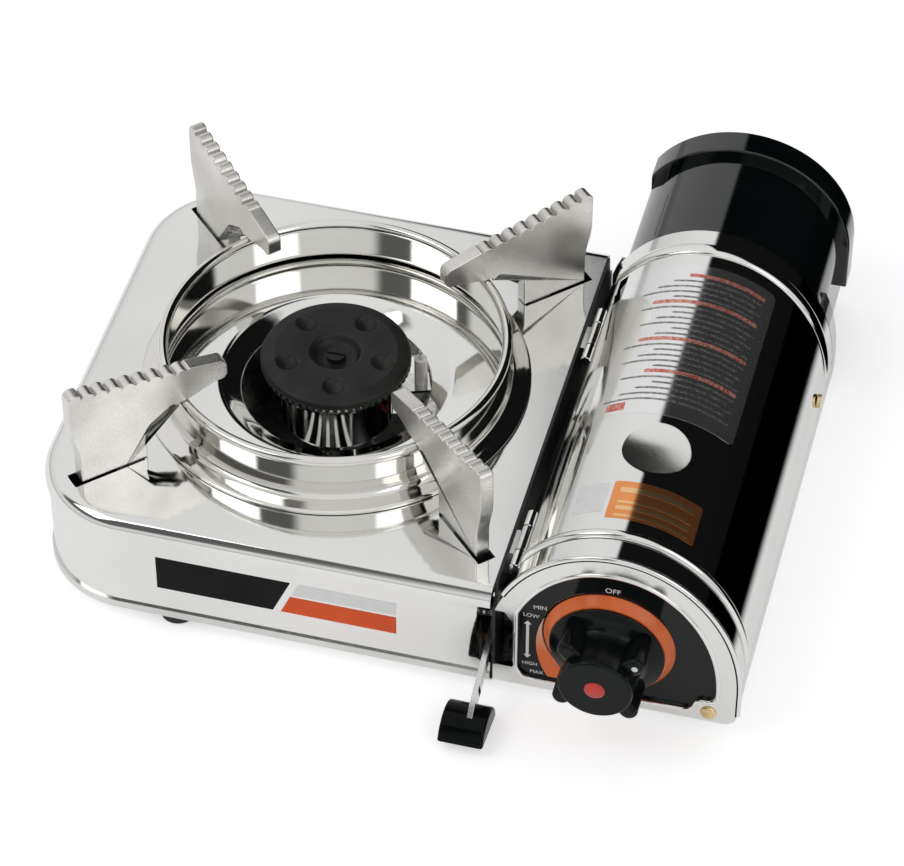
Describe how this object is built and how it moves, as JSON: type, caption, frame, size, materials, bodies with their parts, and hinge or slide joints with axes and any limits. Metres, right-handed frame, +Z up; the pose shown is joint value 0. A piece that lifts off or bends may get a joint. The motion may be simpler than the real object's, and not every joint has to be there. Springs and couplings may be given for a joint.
{
  "type": "butane cassette stove",
  "caption": "Table gas stove of polished pressed steel: one burner with a lift-off trivet, a cartridge bay under an arched hinged lid, a control knob, a locking lever and a sliding rear cover.",
  "frame": {"origin": "middle of the stove's box at the level of the table", "axes": "+X to the right, +Y to the back, +Z up"},
  "size_m": [0.2734, 0.273, 0.0958],
  "materials": {
    "polished_steel": "mirror-polished stainless sheet",
    "satin_steel": "bright rolled steel",
    "support_steel": "satin, tumbled edges",
    "dark_shield": "semi-gloss black",
    "black_panel": "gloss",
    "orange_ring": "gloss",
    "brass": "bright",
    "cast_zinc": "as cast",
    "black_plastic": "moulded, satin gloss",
    "copper": "drawn",
    "burner_enamel": "black heat-proof coat",
    "ceramic": "glazed",
    "lead_sleeve": "smooth",
    "rubber": "matt",
    "red_badge": "gloss",
    "black_enamel": "gloss black"
  },
  "bodies": {
    "stove_body": {"base_tray": "satin_steel", "side_shell": "satin_steel", "top_deck": "polished_steel", "heat_shield": "dark_shield", "bay_trough": "satin_steel", "front_frame": "polished_steel", "rear_frame": "satin_steel", "control_panel": "black_panel", "dial_ring": "orange_ring", "dome_screw": "brass", "regulator_bracket": "satin_steel", "regulator_body": "cast_zinc", "cartridge_socket": "brass", "socket_seal": "rubber", "igniter": "black_plastic", "gas_pipe": "copper", "jet_nozzle": "brass", "mixing_tube": "cast_zinc", "burner_base": "satin_steel", "burner_bracket": "satin_steel", "burner_cap": "burner_enamel", "cap_screw": "burner_enamel", "electrode_bracket": "satin_steel", "electrode_insulator": "ceramic", "electrode_wire": "satin_steel", "ignition_lead": "lead_sleeve", "cartridge_saddles": "satin_steel", "cover_rails": "satin_steel", "hinge_knuckles": "satin_steel", "hinge_pins": "satin_steel", "lid_catch": "satin_steel", "lever_bracket": "satin_steel", "lever_pin": "satin_steel", "foot_screws": "satin_steel", "foot_1": "rubber", "foot_2": "rubber", "foot_3": "rubber", "foot_4": "rubber"},
    "trivet": {"wind_ring": "polished_steel", "pan_support_1": "support_steel", "pan_support_2": "support_steel", "pan_support_3": "support_steel", "pan_support_4": "support_steel"},
    "bay_lid": {"lid": "polished_steel", "latch_stud": "brass"},
    "control_knob": {"knob": "black_plastic", "knob_badge": "red_badge", "valve_stem": "satin_steel"},
    "locking_lever": {"lever_arm": "satin_steel", "lever_grip": "black_plastic", "drive_pin": "satin_steel"},
    "yoke": {"locking_yoke": "satin_steel"},
    "sliding_cover": {"rear_cover": "black_enamel"}
  },
  "joints": [
    {"name": "lid_hinge", "type": "hinge", "parent": "stove_body", "child": "bay_lid", "pos_m": [0.0487, -0.02085, 0.0535], "axis": [0, -1, 0], "range_deg": [0, 52]},
    {"name": "knob_turn", "type": "hinge", "parent": "stove_body", "child": "control_knob", "pos_m": [0.0871, -0.1135, 0.0372], "axis": [0, -1, 0], "range_deg": [-132, 0]},
    {"name": "lever_swing", "type": "hinge", "parent": "stove_body", "child": "locking_lever", "pos_m": [0.0417, -0.0875, 0.024], "axis": [-1, 0, 0], "range_deg": [0, 38]},
    {"name": "yoke_slide", "type": "slide", "parent": "stove_body", "child": "yoke", "axis": [0, 1, 0], "range_m": [0, 0.00705]},
    {"name": "cover_slide", "type": "slide", "parent": "stove_body", "child": "sliding_cover", "axis": [0, -1, 0], "range_m": [0, 0.038]},
    {"name": "trivet_lift", "type": "slide", "parent": "stove_body", "child": "trivet", "axis": [0, 0, 1], "range_m": [0, 0.05]}
  ],
  "couplings": [
    {"joint": "yoke_slide", "follows": "lever_swing", "m_per_rad": 0.010554}
  ]
}
